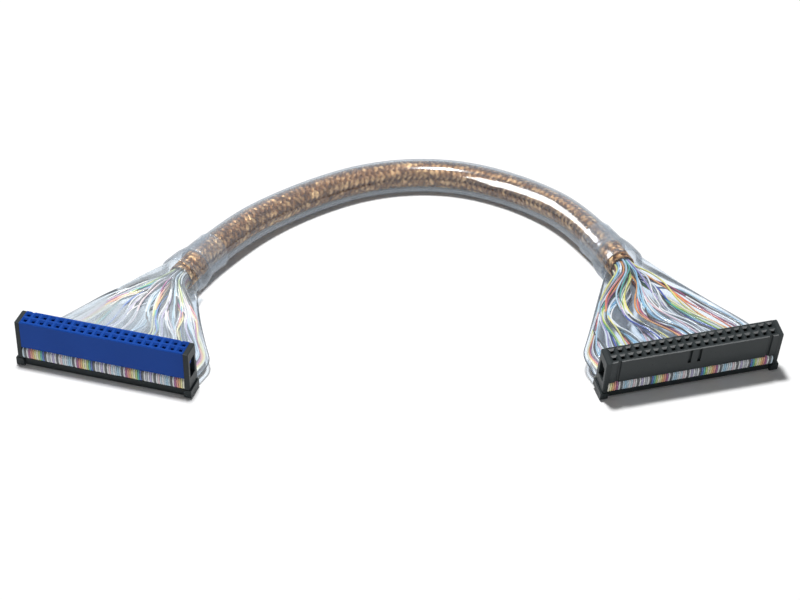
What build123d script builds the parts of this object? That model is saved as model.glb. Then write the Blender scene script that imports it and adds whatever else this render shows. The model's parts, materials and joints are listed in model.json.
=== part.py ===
"""Round drive cable: two 40-way sockets joined by 80 wires in a braided, clear-jacketed trunk.

Frame: +Z up, everything stands or lies on Z = 0, X runs from the blue socket to the black one,
and the origin is under the middle of the two sockets and their fans. All sizes in millimetres.
"""

from math import cos, pi, radians, sin, tan
import os

from build123d import *

os.makedirs("parts", exist_ok=True)

# ---- sockets: the grid of the mating header sets every other size -------------------------
PITCH = 2.54
COLUMNS = 20
ROWS = 2
WIRES = 80
WIRE_PITCH = PITCH / 4
WIRE_DIAMETER = 0.54

# ---- heights of one socket, from the face it stands on ------------------------------------
TOTAL_HEIGHT = 16.2
BODY_HEIGHT = 9.1
BODY_BASE = TOTAL_HEIGHT - BODY_HEIGHT
UPPER_PASS = 6.75
LOWER_PASS = 2.85
GROOVE_DEPTH = 0.14
ARM_BASE = 3.0
WIRE_CLEARANCE = 0.03

# ---- hollows that lighten the strain relief from below ------------------------------------
POCKETS = 5
POCKET_PITCH = 4 * PITCH
POCKET_WALL = 1.0
POCKET_DEPTH = 1.5

# ---- plan of one socket -------------------------------------------------------------------
BODY_LENGTH = 50.8
DEPTH = 6.0
COVER_FRONT = 2.6
NOSE_RADIUS = 1.45
RELIEF_FRONT = 2.35
ARM_THICKNESS = 1.5
ARM_GAP = 0.05
ARM_STEP_HEIGHT = 9.6
ARM_STEP = 0.35
FOOT_LENGTH = 2.4
FOOT_DEPTH = 6.4
FOOT_INSET = 0.4
FOOT_CHAMFER = 0.45
EDGE = 0.25

# ---- what the body is hollowed for --------------------------------------------------------
FUNNEL_WIDTH = 1.9
FUNNEL_DEPTH = 0.5
FUNNEL_TAPER = 42
PASSAGE_WIDTH = 1.0
PASSAGE_DEPTH = 2.0
CAVITY_LENGTH = 1.8
CAVITY_DEPTH = 1.4
KEY_SLOT = (1.0, 5.6, 0.7)
KEY_SLOT_SPACING = 2.9
NOTCH_RADIUS = 0.55
NOTCH_INSET = 2.35
COMB_SLOT = (50.5, 0.44, 1.4)
NUB = (0.9, 2.2, 1.5)
NUB_TAPER = 12
NUB_HEIGHT = 11.2
WINDOW = (3.6, 6.0)
WINDOW_MIDDLE = 9.8

# ---- metal in the body --------------------------------------------------------------------
CONTACT_WIDTH = 1.5
CONTACT_THICKNESS = 0.25
CONTACT_TOP = 14.0
BEAM_GAP = 0.56
BEAM_ROOT = 10.0
BLADE_NOTCH = 0.3
COMB_THICKNESS = 0.3
COMB_LENGTH = 50.3
COMB_HEIGHT = 1.0
COMB_TOOTH = 0.3

# ---- trunk and its route: points chosen by hand, from the blue end to the black end -------
JACKET_DIAMETER = 10.8
JACKET_WALL = 0.5
BRAID_DIAMETER = 8.2
BRAID_WALL = 0.35
BUNDLE_DIAMETER = 7.3
JACKET_SETBACK = 8.0
TRUNK_ROUTE = [
    (-65.6, 14.8, 7.1),
    (-52.1, 38.2, 7.1),
    (-31.2, 59.0, 5.4),
    (-7.5, 72.0, 5.4),
    (17.4, 73.5, 5.4),
    (40.4, 63.0, 5.4),
    (58.4, 44.0, 7.1),
    (68.7, 20.0, 7.1),
]
RADIUS_SHARE = 0.45

# ---- collar and fan sleeve ----------------------------------------------------------------
COLLAR_LENGTH = 17.0
COLLAR_MOUTH_RADIUS = 7.0
COLLAR_GRIP_RADIUS = 6.1
COLLAR_WALL = 0.55
COLLAR_SHOULDER = (4.0, 10.0)
FILM = 0.3
SLEEVE_NECK = (-1.0, 12.6)
SLEEVE_TIP = (3.0, 12.4)
# each section: distance behind the socket, shift towards the inner end, width, thickness,
# share of the climb to the trunk, share of the turn towards the trunk
SLEEVE_SECTIONS = [
    (3.5, 0.0, 54.2, 2.5, 0.0, 0.0),
    (11.5, 1.7, 53.2, 4.2, 0.15, 0.1),
    (28.0, 3.0, 32.6, 7.6, 0.6, 0.5),
]
WIRE_SPREAD = [0.0, 0.35, 1.0]
WIRE_FAN = [1.0, 0.96, 0.56]
FOLD_RADIUS = 1.3
FAN_RADIUS = 5.0
WIRE_START = 1.9
WIRE_END_RUN = 2.5
BUNDLE_PITCH = 0.62
BUNDLE_REACH = 6
STRAIGHT_TURN = 1
FOLD_TURN = 45
CORNER_MARGIN = 0.05

# ---- where the two sockets stand ----------------------------------------------------------
LEFT_PLACE = (-84.6, -23.7)
LEFT_TURN = -17.0
LEFT_LEAN = 0.0
RIGHT_PLACE = (84.2, -25.1)
RIGHT_TURN = 15.0
RIGHT_LEAN = 12.0


def seat_plane(place, turn, lean):
    """Plane of a socket's standing face: turned in plan, leaning forward on its front edge."""
    yaw = radians(turn)
    tip = radians(lean)
    lift = (FOOT_DEPTH / 2 - FOOT_CHAMFER) * sin(tip)
    upward = (sin(yaw) * sin(tip), -cos(yaw) * sin(tip), cos(tip))
    return Plane(origin=(place[0], place[1], lift), x_dir=(cos(yaw), sin(yaw), 0), z_dir=upward)


def save(part, name):
    """Label a finished piece and write it to its own file."""
    part.label = name
    export_step(part, f"parts/{name}.step")


def wire_places():
    """Distance of each wire from the middle of the socket, in order along it."""
    return [(index - (WIRES - 1) / 2) * WIRE_PITCH for index in range(WIRES)]


# ---- pieces of a socket, made once in the socket's own frame ------------------------------
def make_body():
    """Socket moulding: 40 lead-in funnels over 40 contact cavities, keyed on its front face."""
    with BuildPart() as body:
        with BuildSketch(Plane.XY.offset(BODY_BASE)):
            Rectangle(BODY_LENGTH, DEPTH)
        extrude(amount=BODY_HEIGHT)
        chamfer(body.faces().sort_by(Axis.Z)[-1].edges(), EDGE)
        for side in (-1, 1):
            with BuildSketch(Plane.YZ.offset(side * BODY_LENGTH / 2)):
                with Locations((0, NUB_HEIGHT)):
                    Rectangle(NUB[1], NUB[2])
            extrude(amount=side * NUB[0], taper=NUB_TAPER)
        with BuildSketch(Plane.XY.offset(TOTAL_HEIGHT)):
            with GridLocations(PITCH, PITCH, COLUMNS, ROWS):
                Rectangle(FUNNEL_WIDTH, FUNNEL_WIDTH)
        extrude(amount=-FUNNEL_DEPTH, taper=FUNNEL_TAPER, mode=Mode.SUBTRACT)
        with BuildSketch(Plane.XY.offset(TOTAL_HEIGHT)):
            with GridLocations(PITCH, PITCH, COLUMNS, ROWS):
                Rectangle(PASSAGE_WIDTH, PASSAGE_WIDTH)
        extrude(amount=-PASSAGE_DEPTH, mode=Mode.SUBTRACT)
        with BuildSketch(Plane.XY.offset(BODY_BASE)):
            with GridLocations(PITCH, PITCH, COLUMNS, ROWS):
                Rectangle(CAVITY_LENGTH, CAVITY_DEPTH)
        extrude(amount=BODY_HEIGHT - PASSAGE_DEPTH, mode=Mode.SUBTRACT)
        with BuildSketch(Plane.XY.offset(BODY_BASE)):
            Rectangle(COMB_SLOT[0], COMB_SLOT[1])
        extrude(amount=COMB_SLOT[2], mode=Mode.SUBTRACT)
        slot_middle = TOTAL_HEIGHT - KEY_SLOT[1] / 2 - EDGE
        with BuildSketch(Plane.XZ.offset(DEPTH / 2)):
            for side in (-1, 1):
                with Locations((side * KEY_SLOT_SPACING / 2, slot_middle)):
                    Rectangle(KEY_SLOT[0], KEY_SLOT[1])
        extrude(amount=-KEY_SLOT[2], mode=Mode.SUBTRACT)
        with BuildSketch(Plane.XY.offset(BODY_BASE)):
            for side in (-1, 1):
                with Locations((side * (BODY_LENGTH / 2 - NOTCH_INSET), -DEPTH / 2)):
                    Circle(NOTCH_RADIUS)
        extrude(amount=BODY_HEIGHT, mode=Mode.SUBTRACT)
    return body.part


def make_contacts(row):
    """One row of 20 fork contacts: two spring beams for the pin, a notched blade for the wire."""
    half = CONTACT_WIDTH / 2
    slot = BEAM_GAP / 2
    with BuildPart() as contacts:
        with BuildSketch(Plane.XZ.offset(-row * PITCH / 2)):
            for column in range(COLUMNS):
                middle = (column - (COLUMNS - 1) / 2) * PITCH
                with BuildLine():
                    Polyline(
                        (middle - half, BODY_BASE + BLADE_NOTCH),
                        (middle - slot, BODY_BASE),
                        (middle, BODY_BASE + BLADE_NOTCH),
                        (middle + slot, BODY_BASE),
                        (middle + half, BODY_BASE + BLADE_NOTCH),
                        (middle + half, CONTACT_TOP),
                        (middle + slot, CONTACT_TOP),
                        (middle + slot, BEAM_ROOT),
                        (middle - slot, BEAM_ROOT),
                        (middle - slot, CONTACT_TOP),
                        (middle - half, CONTACT_TOP),
                        close=True,
                    )
                make_face()
        extrude(amount=CONTACT_THICKNESS / 2, both=True)
    return contacts.part


def make_ground_comb():
    """Bar that joins the ground wires: one tooth over every second wire, in the body's slot."""
    tooth_top = BODY_BASE + COMB_TOOTH
    with BuildPart() as comb:
        with BuildSketch(Plane.XZ):
            with Locations((0, tooth_top + COMB_HEIGHT / 2)):
                Rectangle(COMB_LENGTH, COMB_HEIGHT)
            for place in wire_places()[::2]:
                with Locations((place, tooth_top)):
                    Rectangle(COMB_TOOTH, 2 * COMB_TOOTH)
        extrude(amount=COMB_THICKNESS / 2, both=True)
    return comb.part


def wire_grooves(height):
    """Sketch a row of wire-sized circles at one height, for cutting grooves across a piece."""
    for place in wire_places():
        with Locations((place, height)):
            Circle(WIRE_DIAMETER / 2 + WIRE_CLEARANCE)


def make_cover():
    """Wire clamp under the body, with an arm at each end that latches over the body's nub."""
    top = UPPER_PASS - WIRE_DIAMETER / 2 + GROOVE_DEPTH
    bottom = LOWER_PASS + WIRE_DIAMETER / 2 - GROOVE_DEPTH
    back = DEPTH / 2
    inner = BODY_LENGTH / 2 + ARM_GAP
    with BuildPart() as cover:
        with BuildSketch(Plane.YZ.offset(-inner)):
            with BuildLine():
                Polyline((back, bottom), (back, top), (-COVER_FRONT, top),
                         (-COVER_FRONT, bottom), close=True)
            make_face()
        extrude(amount=2 * inner)
        nose = cover.edges().filter_by(Axis.X).group_by(Axis.Y)[0]
        fillet(nose, NOSE_RADIUS)
        with BuildSketch(Plane.XZ):
            wire_grooves(UPPER_PASS)
            wire_grooves(LOWER_PASS)
        extrude(amount=DEPTH, both=True, mode=Mode.SUBTRACT)
        for side in (-1, 1):
            with BuildSketch(Plane.YZ.offset(side * inner)):
                with BuildLine():
                    Polyline(
                        (-back, ARM_BASE),
                        (back + ARM_STEP, ARM_BASE),
                        (back + ARM_STEP, ARM_STEP_HEIGHT),
                        (back, ARM_STEP_HEIGHT + ARM_STEP),
                        (back, TOTAL_HEIGHT - ARM_STEP),
                        (back - ARM_STEP, TOTAL_HEIGHT - EDGE),
                        (-back + ARM_STEP, TOTAL_HEIGHT - EDGE),
                        (-back, TOTAL_HEIGHT - ARM_STEP),
                        close=True,
                    )
                make_face()
            extrude(amount=side * ARM_THICKNESS)
            with BuildSketch(Plane.YZ.offset(side * inner)):
                with Locations((0, WINDOW_MIDDLE)):
                    Rectangle(WINDOW[0], WINDOW[1])
            extrude(amount=side * 2 * ARM_THICKNESS, mode=Mode.SUBTRACT)
        for end in (0, -1):
            outer = cover.faces().filter_by(Axis.X).sort_by(Axis.X)[end]
            chamfer(outer.outer_wire().edges(), EDGE)
    return cover.part


def make_strain_relief():
    """Bar that holds the wires against the cover, with a foot under each arm."""
    top = LOWER_PASS - WIRE_DIAMETER / 2 + GROOVE_DEPTH
    bar_length = BODY_LENGTH + 2 * ARM_GAP
    foot_middle = BODY_LENGTH / 2 + ARM_GAP + FOOT_LENGTH / 2 - FOOT_INSET
    with BuildPart() as relief:
        with BuildSketch(Plane.YZ.offset(-bar_length / 2)):
            with BuildLine():
                Polyline((-RELIEF_FRONT, FOOT_CHAMFER), (-RELIEF_FRONT + FOOT_CHAMFER, 0),
                         (DEPTH / 2, 0), (DEPTH / 2, top), (-RELIEF_FRONT, top), close=True)
            make_face()
        extrude(amount=bar_length)
        for side in (-1, 1):
            with BuildSketch(Plane.XY):
                with Locations((side * foot_middle, 0)):
                    Rectangle(FOOT_LENGTH, FOOT_DEPTH)
            extrude(amount=ARM_BASE - ARM_GAP)
        ends = relief.faces().filter_by(Axis.X)
        for end in (ends.sort_by(Axis.X)[0], ends.sort_by(Axis.X)[-1]):
            chamfer(end.edges().group_by(Axis.Z)[0], FOOT_CHAMFER)
        long_edges = relief.edges().filter_by(Axis.X).group_by(Axis.Z)[0]
        chamfer(long_edges.sort_by(Axis.Y)[:2], FOOT_CHAMFER)
        with BuildSketch(Plane.XZ):
            wire_grooves(LOWER_PASS)
        extrude(amount=FOOT_DEPTH, both=True, mode=Mode.SUBTRACT)
        with BuildSketch(Plane.XY):
            with GridLocations(POCKET_PITCH, DEPTH, POCKETS, 1):
                Rectangle(POCKET_PITCH - POCKET_WALL, DEPTH / 2)
        extrude(amount=POCKET_DEPTH, mode=Mode.SUBTRACT)
    return relief.part


# ---- fan: 80 wires from a socket to the trunk ---------------------------------------------
def bundle_places():
    """Places of the wires' ends in the round bundle, ordered along the socket."""
    reach = range(-BUNDLE_REACH, BUNDLE_REACH + 1)
    grid = [(column * BUNDLE_PITCH, row * BUNDLE_PITCH) for column in reach for row in reach]
    nearest = sorted(grid, key=lambda spot: (round(spot[0] ** 2 + spot[1] ** 2, 4), spot))
    return sorted(nearest[:WIRES])


def mouth_plane(end, beside, seat):
    """Plane across the trunk's end, facing along it, with X the same way as the socket's."""
    along = (Vector(*beside) - Vector(*end)).normalized()
    across = seat.x_dir - along * seat.x_dir.dot(along)
    return Plane(origin=end, x_dir=across, z_dir=along)


def fan_planes(seat, mouth, inner):
    """Planes across the fan, from the socket's back to the trunk's mouth."""
    flat_x = Vector(seat.x_dir.X, seat.x_dir.Y, 0).normalized()
    flat_y = Vector(-flat_x.Y, flat_x.X, 0)
    planes = []
    for behind, shift, _width, _thickness, climb, turn in SLEEVE_SECTIONS:
        exit_point = seat.from_local_coords(Vector(inner * shift, behind, LOWER_PASS))
        level = exit_point.Z * (1 - climb) + mouth.origin.Z * climb
        place = seat.origin + flat_x * (inner * shift) + flat_y * behind
        across = seat.x_dir * (1 - turn) + mouth.x_dir * turn
        along = seat.y_dir * (1 - turn) + mouth.z_dir * turn
        if turn == 0:
            planes.append(Plane(origin=exit_point, x_dir=seat.x_dir, z_dir=seat.y_dir))
        else:
            origin = Vector(place.X, place.Y, level)
            planes.append(Plane(origin=origin, x_dir=across, z_dir=along))
    return planes


def make_wire(points):
    """One insulated wire along straight runs joined by arcs."""
    kept = [points[0]]
    radii = []
    for before, corner, after in zip(points, points[1:], points[2:]):
        turn = (corner - before).get_angle(after - corner)
        if turn > STRAIGHT_TURN:
            kept.append(corner)
            radii.append(FOLD_RADIUS if turn > FOLD_TURN else FAN_RADIUS)
    kept.append(points[-1])
    with BuildPart() as wire:
        with BuildLine() as path:
            FilletPolyline(*kept, radius=radii)
        with BuildSketch(Plane(origin=kept[0], z_dir=kept[1] - kept[0])):
            Circle(WIRE_DIAMETER / 2)
        sweep()
    return wire.part


def make_fan_wires(seat, mouth, inner):
    """All 80 wires of one end: clamped in the socket, folded round its front, fanned behind."""
    front = -(COVER_FRONT + WIRE_DIAMETER / 2 + WIRE_CLEARANCE)
    planes = fan_planes(seat, mouth, inner)
    pieces = []
    for place, spot in zip(wire_places(), bundle_places()):
        points = [
            seat.from_local_coords(Vector(place, WIRE_START, UPPER_PASS)),
            seat.from_local_coords(Vector(place, front, UPPER_PASS)),
            seat.from_local_coords(Vector(place, front, LOWER_PASS)),
        ]
        for plane, spread, share in zip(planes, WIRE_SPREAD, WIRE_FAN):
            points.append(plane.from_local_coords(Vector(place * share, spot[1] * spread, 0)))
        for back_off in (WIRE_END_RUN, 0):
            points.append(mouth.from_local_coords(Vector(spot[0], spot[1], -back_off)))
        pieces.append(make_wire(points))
    return Compound(children=pieces)


def make_fan_sleeve(seat, mouth, inner):
    """Clear film sleeve: flat and wide behind the socket, round where it enters the collar."""
    sections = [(plane, section[2], section[3])
                for plane, section in zip(fan_planes(seat, mouth, inner), SLEEVE_SECTIONS)]
    for along, width in (SLEEVE_NECK, SLEEVE_TIP):
        sections.append((mouth.offset(along), width, width))
    with BuildPart() as sleeve:
        for wall, mode in ((0, Mode.ADD), (FILM, Mode.SUBTRACT)):
            faces = []
            for plane, width, thickness in sections:
                with BuildSketch(plane, mode=Mode.PRIVATE) as outline:
                    RectangleRounded(width - 2 * wall, thickness - 2 * wall,
                                     thickness / 2 - wall - CORNER_MARGIN)
                faces.append(outline.sketch.face())
            loft(faces, ruled=True, mode=mode)
    return sleeve.part


def make_collar(mouth):
    """Clear tube over the end of the braid: grips the jacket, then widens to its mouth."""
    grip_start = COLLAR_SHOULDER[1]
    mouth_end = COLLAR_SHOULDER[0]
    with BuildPart() as collar:
        with BuildSketch(Plane(origin=mouth.origin, x_dir=mouth.x_dir, z_dir=-mouth.y_dir)):
            with BuildLine():
                Polyline(
                    (COLLAR_MOUTH_RADIUS - COLLAR_WALL, 0),
                    (COLLAR_MOUTH_RADIUS, 0),
                    (COLLAR_MOUTH_RADIUS, mouth_end),
                    (COLLAR_GRIP_RADIUS, grip_start),
                    (COLLAR_GRIP_RADIUS, COLLAR_LENGTH),
                    (COLLAR_GRIP_RADIUS - COLLAR_WALL, COLLAR_LENGTH),
                    (COLLAR_GRIP_RADIUS - COLLAR_WALL, grip_start),
                    (COLLAR_MOUTH_RADIUS - COLLAR_WALL, mouth_end),
                    close=True,
                )
            make_face()
        revolve(axis=Axis(mouth.origin, mouth.z_dir), revolution_arc=360)
    return collar.part


# ---- trunk: three round layers along one route --------------------------------------------
def corner_radii(route):
    """Radius at each corner: a share of the shorter run over the tangent of half the turn."""
    radii = []
    for before, corner, after in zip(route, route[1:], route[2:]):
        first = Vector(*corner) - Vector(*before)
        second = Vector(*after) - Vector(*corner)
        half_turn = radians(first.get_angle(second) / 2)
        radii.append(RADIUS_SHARE * min(first.length, second.length) / tan(half_turn))
    return radii


def make_trunk_layer(diameter, wall=0.0, setback=0.0):
    """A round layer of the trunk, hollow where it has a wall, shorter at each end by setback."""
    first = Vector(*TRUNK_ROUTE[1]) - Vector(*TRUNK_ROUTE[0])
    last = Vector(*TRUNK_ROUTE[-2]) - Vector(*TRUNK_ROUTE[-1])
    with BuildPart() as layer:
        with BuildLine() as path:
            FilletPolyline(*TRUNK_ROUTE, radius=corner_radii(TRUNK_ROUTE))
        with BuildSketch(Plane(origin=TRUNK_ROUTE[0], z_dir=first)):
            Circle(diameter / 2)
            if wall:
                Circle(diameter / 2 - wall, mode=Mode.SUBTRACT)
        sweep()
        if setback:
            for end, inward in ((TRUNK_ROUTE[0], first), (TRUNK_ROUTE[-1], last)):
                cut = Plane(origin=Vector(*end) + inward.normalized() * setback, z_dir=inward)
                split(bisect_by=cut, keep=Keep.TOP)
    length = sum(edge.length for edge in path.edges()) - 2 * setback
    inner = diameter / 2 - wall if wall else 0
    area = pi * ((diameter / 2) ** 2 - inner ** 2)
    print(f"layer {diameter}: volume {layer.part.volume:.1f}, section x length "
          f"{area * length:.1f}, length {length:.1f}")
    return layer.part


# ---- build everything ---------------------------------------------------------------------
body = make_body()
contacts_front = make_contacts(-1)
contacts_rear = make_contacts(1)
ground_comb = make_ground_comb()
cover = make_cover()
strain_relief = make_strain_relief()

ends = {
    "left": (seat_plane(LEFT_PLACE, LEFT_TURN, LEFT_LEAN), TRUNK_ROUTE[0], TRUNK_ROUTE[1], 1),
    "right": (seat_plane(RIGHT_PLACE, RIGHT_TURN, RIGHT_LEAN), TRUNK_ROUTE[-1], TRUNK_ROUTE[-2], -1),
}
half_turn = Location((0, 0, 0), (0, 0, 180))

for side, (seat, end, beside, inner) in ends.items():
    keyed_face = half_turn if side == "left" else Location()
    save(body.moved(seat.location * keyed_face), f"{side}_socket_body")
    save(contacts_front.moved(seat.location), f"{side}_contacts_front_row")
    save(contacts_rear.moved(seat.location), f"{side}_contacts_rear_row")
    save(ground_comb.moved(seat.location), f"{side}_ground_comb")
    save(cover.moved(seat.location), f"{side}_cover")
    save(strain_relief.moved(seat.location), f"{side}_strain_relief")
    mouth = mouth_plane(end, beside, seat)
    save(make_fan_wires(seat, mouth, inner), f"{side}_fan_wires")
    save(make_fan_sleeve(seat, mouth, inner), f"{side}_fan_sleeve")
    save(make_collar(mouth), f"{side}_collar")

print("trunk bend radii", [round(radius, 1) for radius in corner_radii(TRUNK_ROUTE)])
save(make_trunk_layer(JACKET_DIAMETER, JACKET_WALL, JACKET_SETBACK), "trunk_jacket")
save(make_trunk_layer(BRAID_DIAMETER, BRAID_WALL), "copper_braid")
save(make_trunk_layer(BUNDLE_DIAMETER), "wire_bundle")
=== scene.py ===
"""Looks of a round drive cable: clear-jacketed copper braid between two 40-way sockets.

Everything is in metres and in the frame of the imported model. The sockets, clamps and contacts
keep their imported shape. The trunk, its braid, the fanned wires and the clear films are made here.
"""

import json
from math import cos, pi, radians, sin

import bpy
import numpy as np
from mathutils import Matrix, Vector


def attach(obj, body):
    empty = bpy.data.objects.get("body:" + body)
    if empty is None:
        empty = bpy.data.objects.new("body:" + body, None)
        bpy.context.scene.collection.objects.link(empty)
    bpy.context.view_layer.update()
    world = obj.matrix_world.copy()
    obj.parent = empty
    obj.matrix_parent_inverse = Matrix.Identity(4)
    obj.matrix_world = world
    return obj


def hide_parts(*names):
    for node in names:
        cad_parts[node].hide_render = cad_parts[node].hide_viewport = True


bl_info = {
    "name": "Round drive cable",
    "version": (1, 0, 0),
    "blender": (4, 5, 0),
    "location": "View3D > Sidebar > Cable",
    "description": "Dresses a packed round drive cable: braid, jacket, fans, films and finishes",
    "category": "Object",
}

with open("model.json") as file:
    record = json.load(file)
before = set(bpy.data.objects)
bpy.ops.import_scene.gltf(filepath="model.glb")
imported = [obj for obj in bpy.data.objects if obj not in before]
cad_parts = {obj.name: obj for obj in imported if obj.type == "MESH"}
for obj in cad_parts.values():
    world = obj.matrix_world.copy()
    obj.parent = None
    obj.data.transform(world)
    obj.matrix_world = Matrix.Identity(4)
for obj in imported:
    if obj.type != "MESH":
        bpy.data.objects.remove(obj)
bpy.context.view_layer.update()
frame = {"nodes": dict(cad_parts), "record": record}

MM = 0.001
SIDES = ("left", "right")
# which way each fan leans towards the trunk, along its socket
INWARD = {"left": 1.0, "right": -1.0}
FACE_MOUNT = {"left": "blue_socket_face", "right": "black_socket_face"}
# per-point colour of a wire, or height of a braid's strand from 0 (under) to 1 (over), which drives
# the copper's painted shade and highlight
TINT = "tint"

# ---- trunk: the route's points, from the blue end to the black end --------------------------
TRUNK_ROUTE = [
    (-0.0656, 0.0148, 0.0071),
    (-0.0521, 0.0382, 0.0071),
    (-0.0312, 0.0590, 0.0054),
    (-0.0075, 0.0720, 0.0054),
    (0.0174, 0.0735, 0.0054),
    (0.0404, 0.0630, 0.0054),
    (0.0584, 0.0440, 0.0071),
    (0.0687, 0.0200, 0.0071),
]
ROUTE_STEPS = 40
# the jacket: its ends' distance inside the collars, its slow swelling and the margin that keeps
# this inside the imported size
JACKET_SETBACK = 8.0 * MM
JACKET_MARGIN = 0.06 * MM
JACKET_SWELL = 0.05 * MM
JACKET_SWELL_LENGTH = 9 * MM
JACKET_RINGS = 161
JACKET_FACETS = 48
# the braid: length of one straight stretch of a strand, how closely strands of a group lie, how
# sharply they change from over to under, and how far from its ends the braid stays centred
STRAND_STEP = 0.52 * MM
STRAND_CLOSENESS = 0.98
CROSSING_SHARPNESS = 1.6
STRAND_FACETS = 4
CENTRED_END = 14 * MM
# the bundle: wires of its outer layer, which touch and so hide what is inside
LAYER_WIRES = 18
LAYER_STEPS = 150
LAYER_DEPTH = 2.2
LAYER_OVERLAP = 1.04
# painted shade: the bundle's colours are darkened as though they lay in the braid's shade
LAYER_PAINTED_SHADE = 0.6
LAYER_COLOUR_STEP = 5
BUNDLE_END = 0.5 * MM
BUNDLE_TWIST = 60 * MM

# ---- socket and fan sizes, in the socket's own frame ----------------------------------------
SOCKET_HEIGHT = 16.2 * MM
WIRES = 80
WIRE_PITCH = 0.635 * MM
UPPER_PASS = 6.75 * MM
LOWER_PASS = 2.85 * MM
FOLD_FRONT = -2.9 * MM
FOLD_RADIUS = 1.3 * MM
FOLD_STEPS = 15
# powers on the insulation's colour: a painted highlight that pales it round the fold, and in each
# fan a paler tone on the left and a deeper one on the right
FOLD_PAINTED_HIGHLIGHT = 0.75
FAN_FADE = {"left": 0.45, "right": 1.3}
CLAMP_START = 1.6 * MM
FAN_START = 3.3 * MM
# distance behind the socket, shift inwards, width, thickness, climb, turn towards the trunk
FAN_SECTIONS = [
    (3.5 * MM, 0.0, 54.2 * MM, 2.5 * MM, 0.0, 0.0),
    (11.5 * MM, 1.7 * MM, 53.2 * MM, 4.2 * MM, 0.15, 0.1),
    (28.0 * MM, 3.0 * MM, 32.6 * MM, 7.6 * MM, 0.6, 0.5),
]
# distance past the trunk's mouth and width of the sleeve's round end
NECK = (-1.0 * MM, 12.6 * MM)
TIP = (3.0 * MM, 12.4 * MM)
CORNER_ROUNDING = 2.5 * MM
CORNER_SAMPLES = 9

# ---- free wires: how they run from the socket to the trunk -----------------------------------
FREE_STEPS = 46
WIRE_FACETS = 8
GROUP_SIZE = 5
GROUP_SEED = {"left": 40, "right": 540}
WIRE_SEED = 900
# sideways run: sweep towards the trunk and tremble of a wire, as shares of the fan's half width,
# and sway and lean of its group, as shares of the wander
SWEEP = 0.48
TREMBLE = 0.012
SWAY = 0.8
LEAN = 0.7
# height: how far a wire rises and falls, the room kept to the film, and the most of the fan's
# thickness that is filled
RISE_AND_FALL = 0.35
FILM_MARGIN = 0.75 * MM
FILLED_HEIGHT = 0.86
EDGE_MARGIN = 1.3 * MM
# shares of a wire's free length: where it has left its straight exit, where it gathers
SETTLED = 0.10
GATHER_START = 0.60
GATHER_LENGTH = 0.38
LOOSE_AT_NECK = 1.2 * MM
# the gathered wires: spacing, places tried each way from the middle, and radius of them all
BUNDLE_PITCH = 0.62 * MM
BUNDLE_REACH = 6
BUNDLE_RADIUS = 3.5 * MM

# ---- film sleeves and collars ----------------------------------------------------------------
SLEEVE_RINGS = 90
SLEEVE_FACETS = 144
SLEEVE_SEED = {"left": 7, "right": 8}
SLEEVE_FLATTENING = 0.96
# numbers of creases round the sleeve, and the most that one stands out
CREASES = (5, 8, 13, 21, 30)
CREASE_LIMIT = 0.5 * MM
# where across the sleeve its folded edges begin, and the last share of its length, which is clear
FOLDED_EDGE = 0.985
FOLDED_BLEND = 0.012
CLEAR_NECK = 0.22
COLLAR_RINGS = 60
COLLAR_FACETS = 72
# radii over the fan's neck and over the jacket, and where one turns into the other
COLLAR_NECK = 7.0 * MM
COLLAR_GRIP = 5.95 * MM
COLLAR_SHOULDER = (4 * MM, 6.5 * MM)
COLLAR_LIP = 0.12 * MM
COLLAR_LIP_LENGTH = 0.4 * MM
COLLAR_DENTS = 0.12 * MM

# ---- insulation: one repeat of 24 wires, counted from each socket's inner end ----------------
CREAM = (0.90, 0.86, 0.66)
YELLOW = (0.86, 0.80, 0.30)
ORANGE = (0.84, 0.42, 0.14)
SALMON = (0.80, 0.26, 0.20)
PLUM = (0.34, 0.07, 0.22)
WHITE = (0.86, 0.88, 0.90)
CHARCOAL = (0.045, 0.05, 0.055)
ICE = (0.56, 0.74, 0.86)
SKY = (0.34, 0.62, 0.82)
ROSE = (0.84, 0.62, 0.66)
LILAC = (0.44, 0.38, 0.66)
BLUE = (0.05, 0.12, 0.52)
TEAL = (0.06, 0.44, 0.38)
LIME = (0.50, 0.66, 0.16)
GREY = (0.42, 0.45, 0.50)
WIRE_COLOURS = [
    CREAM, YELLOW, ORANGE, SALMON, PLUM, WHITE, CHARCOAL, ICE, SKY, ICE, WHITE, ICE,
    ROSE, WHITE, CHARCOAL, WHITE, LILAC, WHITE, GREY, WHITE, CHARCOAL, BLUE, TEAL, LIME,
]

# ---- finishes shared by several materials ----------------------------------------------------
CLEAR = (0.96, 0.98, 1.0)
DEEP = (0.16, 0.19, 0.22)
FILM_SEAM = (0.07, 0.09, 0.11)
MILKY_FILM = (0.86, 0.91, 0.94)
PURE_WHITE = (1.0, 1.0, 1.0)
# walls of clear plastic that one ray may cross: jacket, collar and sleeve, in and out again
CLEAR_CROSSINGS = 24

# ---- stage -----------------------------------------------------------------------------------
FLOOR_REACH = 3.0
FLOOR_DROP = 0.02 * MM
FLOOR_COLOUR = (0.97, 0.97, 0.97)
SKY_COLOUR = (0.94, 0.97, 1.0)
VIEW_MIDDLE = (0.0009, 0.01165, 0.00105)
LAMP_AIM = (0, 0.02, 0)
# collections that link a lamp to pieces
STREAKED = "tubes_under_the_streak_lamp"
GLEAMING = "mouldings_under_the_gleam_lamp"
UNSHADED = "tubes_that_throw_no_shadow"


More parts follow.
